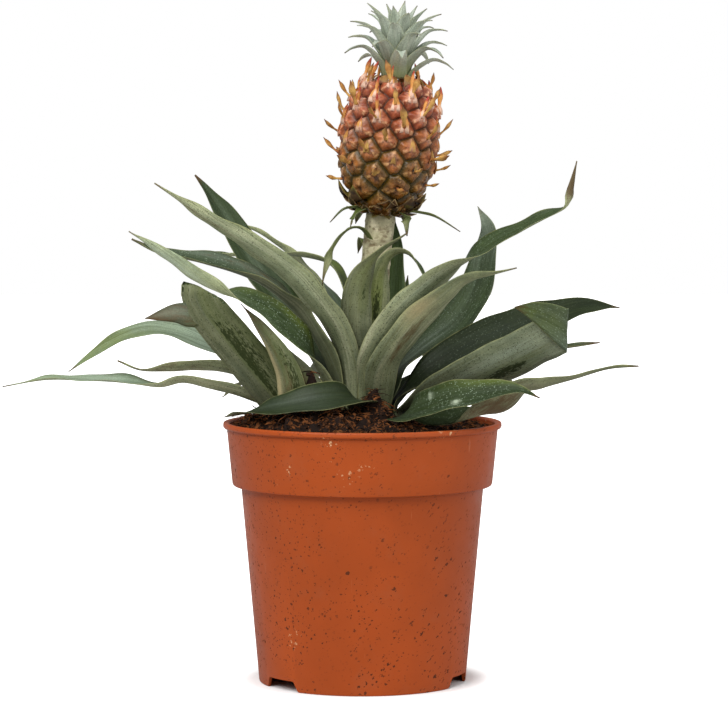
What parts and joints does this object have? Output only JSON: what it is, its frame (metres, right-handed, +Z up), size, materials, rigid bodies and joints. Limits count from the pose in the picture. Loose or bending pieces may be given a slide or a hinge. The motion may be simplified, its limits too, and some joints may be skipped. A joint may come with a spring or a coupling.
{
  "type": "potted pineapple plant",
  "caption": "Ornamental pineapple plant in a round plastic nursery pot: strap leaves round a stalk that carries a small fruit with a leafy crown",
  "frame": {"origin": "on the pot's axis, at the middle of the flat face under the pot", "axes": "+Z up along the pot's axis, -Y towards the picture's camera, +X to its right"},
  "size_m": [0.2691, 0.1699, 0.2931],
  "materials": {
    "pot": "satin",
    "soil": "rough",
    "stalk": "matte",
    "fruit": "satin",
    "crown": "matte",
    "leaf": "satin"
  },
  "bodies": {
    "root": {"pot": "pot", "soil": "soil", "stalk": "stalk", "fruit": "fruit", "crown": "crown", "leaf_01": "leaf", "leaf_02": "leaf", "leaf_03": "leaf", "leaf_04": "leaf", "leaf_05": "leaf", "leaf_06": "leaf", "leaf_07": "leaf", "leaf_08": "leaf", "leaf_09": "leaf", "leaf_10": "leaf", "leaf_11": "leaf", "leaf_12": "leaf", "leaf_13": "leaf", "leaf_14": "leaf", "leaf_15": "leaf", "leaf_16": "leaf", "leaf_17": "leaf", "leaf_18": "leaf", "leaf_19": "leaf", "leaf_20": "leaf", "leaf_21": "leaf", "leaf_22": "leaf", "leaf_23": "leaf", "leaf_24": "leaf", "leaf_25": "leaf", "leaf_26": "leaf", "leaf_27": "leaf", "leaf_28": "leaf", "leaf_29": "leaf", "leaf_30": "leaf"}
  },
  "joints": []
}
